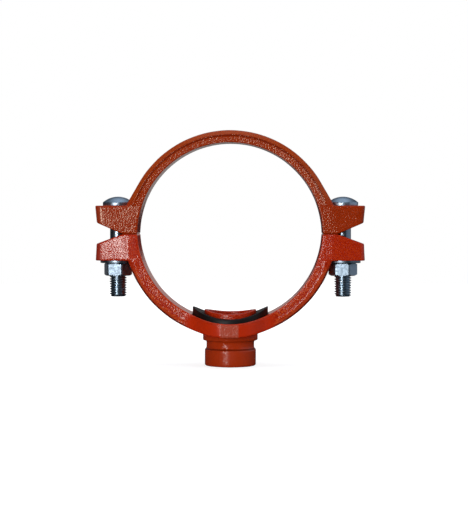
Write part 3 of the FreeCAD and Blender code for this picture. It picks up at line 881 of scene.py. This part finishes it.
# the washers get the plate with painted shadow
for side in hands:
    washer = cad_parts[side + "_washer"]
    washer.data.materials.clear()
    washer.data.materials.append(shadedWasherZinc)
print("washers plated")


gasketPlan = {
    "inner": 24.8,  # radius
    "outer": 35.5,
    "height": 11.9,  # in the middle plane
    "curve": 63.0,  # radius of its curved top
    "floor": 94.5,  # radius of the seat that it lies in
    "lift": boreCentre["outlet"],  # height of that seat's axis
    "columns": 180,
}


def gasketSection(plan):
    # (radius, share of the height, rise in mm) along the section, from the inner foot to the inner lip
    inner, outer = plan["inner"], plan["outer"]
    return np.array((
        (inner, 0.0, 0.5),
        (inner + 0.15, 0.0, 0.15),
        (inner + 0.5, 0.0, 0.0),
        (outer - 0.6, 0.0, 0.0),
        (outer - 0.15, 0.0, 0.15),
        (outer, 0.0, 0.6),
        (outer, 1.0, -1.0),
        (outer - 0.12, 1.0, -0.5),
        (outer - 0.4, 1.0, -0.15),
        (outer - 0.9, 1.0, 0.0),
        (outer - 2.2, 1.0, -0.05),
        (outer - 2.8, 1.0, -0.45),
        (inner + 3.2, 1.0, -0.75),
        (inner + 2.4, 1.0, -0.35),
        (inner + 1.4, 1.0, -0.05),
        (inner + 0.7, 1.0, -0.1),
        (inner + 0.2, 1.0, -0.4),
        (inner, 1.0, -0.9),
        (inner, 0.0, 0.5),
    ))


def makeGasket(name, plan):
    # the section carried round the branch, at foot + (top - foot) x share + rise. The foot is on the seat's
    # cylinder, at lift - root of (floor squared - x squared), and the top in the same way on a smaller one
    radius, share, rise = gasketSection(plan).T[:, :, None]
    angle = np.linspace(0, fullTurn, plan["columns"] + 1)
    x = radius * np.cos(angle)
    foot = plan["lift"] - np.sqrt(plan["floor"] ** 2 - x**2)
    crest = plan["lift"] - plan["floor"] + plan["height"] + plan["curve"]
    top = crest - np.sqrt(plan["curve"] ** 2 - x**2)
    height = foot + (top - foot) * share + rise
    return meshFromGrid(name, aroundAxis(radius * mm, angle, height * mm, 0.0))


addPiece("branchGasket", makeGasket("branchGasket", gasketPlan), rubber, "outlet_side", "rubber", "gasket")


# Floor, surroundings and lamps

stagePlan = {
    "floorRadius": 1.6,  # m
    "floorColumns": 96,
    "floorColour": (0.28, 0.28, 0.28, 1),
    "shadowTint": (0.35, 0.35, 0.36, 1),
    "shownWhite": 0.82,  # what the camera sees of it under the fitting, without the lamps; it grows to 1
    "whiteFrom": (0.15, 0.45),  # m from the middle, where it starts to grow and where it is 1
    "mirrored": (0.02, 0.45),  # brightness in reflections, in front of the fitting and far behind it
    "mirroredFrom": (0.25, 0.80),  # m
    "mirroredTint": (1.0, 0.92, 0.88, 1),
}


def mixShader(tree, share, first, second):
    inputs = {0: share, 1: first.outputs[0], 2: second.outputs[0]}
    return addNode(tree, "ShaderNodeMixShader", inputs)


def makeFloor(plan):
    # a flat disc at the model's lowest level: it looks white but for a faint shadow, and from below it lets
    # the view through
    angle = np.linspace(0, fullTurn, plan["floorColumns"] + 1)
    radius = np.array((0.0, plan["floorRadius"]))[:, None]
    mesh = meshFromGrid("paleFloor", aroundAxis(radius, angle, cadBox[0].z, 0.0))
    if mesh.polygons[0].normal.z < 0:
        mesh.flip_normals()
    material = bpy.data.materials.new("paleFloor")
    material.use_nodes = True
    tree = material.node_tree
    tree.nodes.clear()
    place = addNode(tree, "ShaderNodeTexCoord").outputs["Object"]
    glow = rampNode(tree, lengthNode(tree, place), *plan["whiteFrom"], plan["shownWhite"], 1.0)
    plain = addNode(tree, "ShaderNodeEmission", {"Color": white, "Strength": glow})
    shaded = addNode(tree, "ShaderNodeBsdfDiffuse", {"Color": plan["shadowTint"]})
    shown = addNode(tree, "ShaderNodeAddShader", {0: plain.outputs[0], 1: shaded.outputs[0]})
    along = addNode(tree, "ShaderNodeSeparateXYZ", {0: place}).outputs["Y"]
    sheen = rampNode(tree, along, *plan["mirroredFrom"], *plan["mirrored"])
    mirrored = addNode(tree, "ShaderNodeEmission", {"Color": plan["mirroredTint"], "Strength": sheen})
    matt = addNode(tree, "ShaderNodeBsdfDiffuse", {"Color": plan["floorColour"]})
    clear = addNode(tree, "ShaderNodeBsdfTransparent")
    ray = addNode(tree, "ShaderNodeLightPath")
    under = addNode(tree, "ShaderNodeNewGeometry").outputs["Backfacing"]
    unseen = mixShader(tree, ray.outputs["Is Glossy Ray"], matt, mirrored)
    above = mixShader(tree, ray.outputs["Is Camera Ray"], unseen, shown)
    mixed = mixShader(tree, under, above, clear)
    addNode(tree, "ShaderNodeOutputMaterial", {"Surface": mixed.outputs[0]})
    mesh.materials.append(material)
    newObject("paleFloor", mesh)


# Pairs are parts of a direction of length 1, where a light starts and where it is full
worldPlan = {
    "around": 0.02,
    "above": 0.10,
    "aboveFrom": (0.15, 0.70),
    "strip": 0.45,  # a lighter strip of ceiling from front to back
    "stripAside": (0.50, 0.15),
    "stripFrom": (0.55, 0.85),
    "behind": 0.34,  # with a dark line along the horizon
    "behindFrom": (0.90, 0.985),
    "horizon": -0.015,
    "horizonEdge": (0.022, 0.042),
    "right": 0.33,
    "rightFrom": (0.60, 0.85),
    "coolTint": (0.84, 0.96, 1.12, 1),
    "warmTint": (1.0, 0.92, 0.88, 1),  # of the light from behind
}


def makeWorld(plan):
    # the camera sees white; the fitting sees a cool light, which goes from around to above with the height,
    # plus the strip and the right, and a warm light behind it
    world = bpy.data.worlds.new("paleStudio")
    bpy.context.scene.world = world
    world.use_nodes = True
    tree = world.node_tree
    tree.nodes.clear()
    place = addNode(tree, "ShaderNodeTexCoord").outputs["Generated"]
    x, y, z = addNode(tree, "ShaderNodeSeparateXYZ", {0: place}).outputs
    above = rampNode(tree, z, *plan["aboveFrom"], plan["around"], plan["above"])
    middle = rampNode(tree, mathNode(tree, "ABSOLUTE", x), *plan["stripAside"], 0.0, plan["strip"])
    strip = product(tree, middle, rampNode(tree, z, *plan["stripFrom"]))
    offLevel = mathNode(tree, "ABSOLUTE", mathNode(tree, "SUBTRACT", z, plan["horizon"]))
    straight = rampNode(tree, y, *plan["behindFrom"], 0.0, plan["behind"])
    behind = product(tree, straight, rampNode(tree, offLevel, *plan["horizonEdge"]))
    right = rampNode(tree, x, *plan["rightFrom"], 0.0, plan["right"])
    light = mathNode(tree, "ADD", mathNode(tree, "ADD", above, strip), right)
    cool = addNode(tree, "ShaderNodeBackground", {"Color": plan["coolTint"], "Strength": light})
    warm = addNode(tree, "ShaderNodeBackground", {"Color": plan["warmTint"], "Strength": behind})
    lit = addNode(tree, "ShaderNodeAddShader", {0: cool.outputs[0], 1: warm.outputs[0]})
    plain = addNode(tree, "ShaderNodeBackground", {"Color": white, "Strength": 1.0})
    seen = addNode(tree, "ShaderNodeLightPath").outputs["Is Camera Ray"]
    mixed = mixShader(tree, seen, lit, plain)
    addNode(tree, "ShaderNodeOutputWorld", {"Surface": mixed.outputs[0]})


lampPlan = {
    # azimuth and elevation in degrees seen from the object, distance, width and height in m, brightness,
    # and whether it shows in reflections
    "keySoftbox": (-19, 0.5, 4.0, 0.94, 1.15, 16.5, True),
    "keySpread": (-25, 10, 2.0, 1.0, 1.0, 3.2, False),
    "lowSpread": (15, 0, 2.0, 0.8, 0.4, 3.6, False),
    "fillPanel": (45, 20, 2.0, 1.0, 1.0, 1.4, False),
    "topPanel": (0, 85, 1.4, 1.2, 1.2, 2.0, False),
    "rearSpread": (150, 25, 2.0, 1.0, 1.0, 3.4, False),
    "rearFill": (-140, 25, 2.0, 1.0, 1.0, 2.4, False),
}


def makeLamp(name, azimuth, elevation, distance, width, height, brightness, mirrored):
    turn = math.radians(azimuth)
    rise = math.radians(elevation)
    toLamp = Vector((math.sin(turn) * math.cos(rise), -math.cos(turn) * math.cos(rise), math.sin(rise)))
    data = bpy.data.lights.new(name, "AREA")
    data.shape = "RECTANGLE"
    data.size = width
    data.size_y = height
    data.energy = brightness * math.pi * width * height
    lamp = newObject(name, data)
    lamp.location = toLamp * distance
    lamp.rotation_euler = toLamp.to_track_quat("Z", "Y").to_euler()
    lamp.visible_glossy = mirrored


makeFloor(stagePlan)
makeWorld(worldPlan)
for name, settings in lampPlan.items():
    makeLamp(name, *settings)
bpy.context.scene.view_settings.view_transform = "Standard"
print("stage lit")
